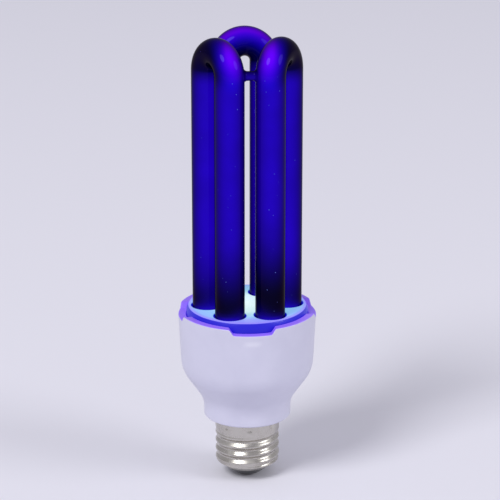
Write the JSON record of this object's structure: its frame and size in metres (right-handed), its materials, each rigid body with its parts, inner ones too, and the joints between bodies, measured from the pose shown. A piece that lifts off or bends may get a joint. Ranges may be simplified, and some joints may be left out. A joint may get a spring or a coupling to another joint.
{
  "type": "black light bulb",
  "caption": "Compact fluorescent black light bulb: U-bent dark violet glass tubes on a white plastic base with a notched rim, over a screw cap.",
  "frame": {"origin": "on the lamp's axis, in the plane where the screw cap meets the plastic cup", "axes": "+Z along the axis from the cap up to the bends of the tubes, -Y towards the gap between the two electrode legs"},
  "size_m": [0.056, 0.056, 0.186],
  "materials": {
    "dark_violet_glass": "polished, lit from inside",
    "white_cup_plastic": "moulded, semi-gloss",
    "white_cover_plastic": "moulded, semi-gloss",
    "white_cement": "matt",
    "plated_cap_sheet": "drawn and plated",
    "black_cap_glass": "glossy",
    "contact_solder": "soft solder over sheet",
    "wire_cover": "satin",
    "board_laminate": "matt laminate",
    "tinned_post": "tinned",
    "nickel_lead": "drawn",
    "ferrite": "matt",
    "bobbin_plastic": "moulded",
    "enamelled_copper": "enamelled",
    "capacitor_sleeve": "shrunk sleeve",
    "transistor_epoxy": "moulded",
    "film_dip": "dipped",
    "diode_epoxy": "moulded",
    "fuse_coating": "matt",
    "resistor_coating": "satin"
  },
  "bodies": {
    "root": {"discharge_tube": "dark_violet_glass", "tube_cover": "white_cover_plastic", "tube_cement": "white_cement", "housing_cup": "white_cup_plastic", "cap_shell": "plated_cap_sheet", "cap_insulator": "black_cap_glass", "centre_contact": "contact_solder", "contact_wire": "wire_cover", "shell_wire": "wire_cover", "ballast_board": "board_laminate", "lead_posts": "tinned_post", "tube_leads": "nickel_lead", "choke_core": "ferrite", "choke_bobbin": "bobbin_plastic", "choke_winding": "enamelled_copper", "electrolytic_capacitor": "capacitor_sleeve", "ring_core": "ferrite", "ring_windings": "enamelled_copper", "transistors": "transistor_epoxy", "film_capacitors": "film_dip", "rectifier_diodes": "diode_epoxy", "fuse_resistor": "fuse_coating", "resistors": "resistor_coating", "filter_choke_core": "ferrite", "filter_choke_winding": "enamelled_copper"}
  },
  "joints": []
}
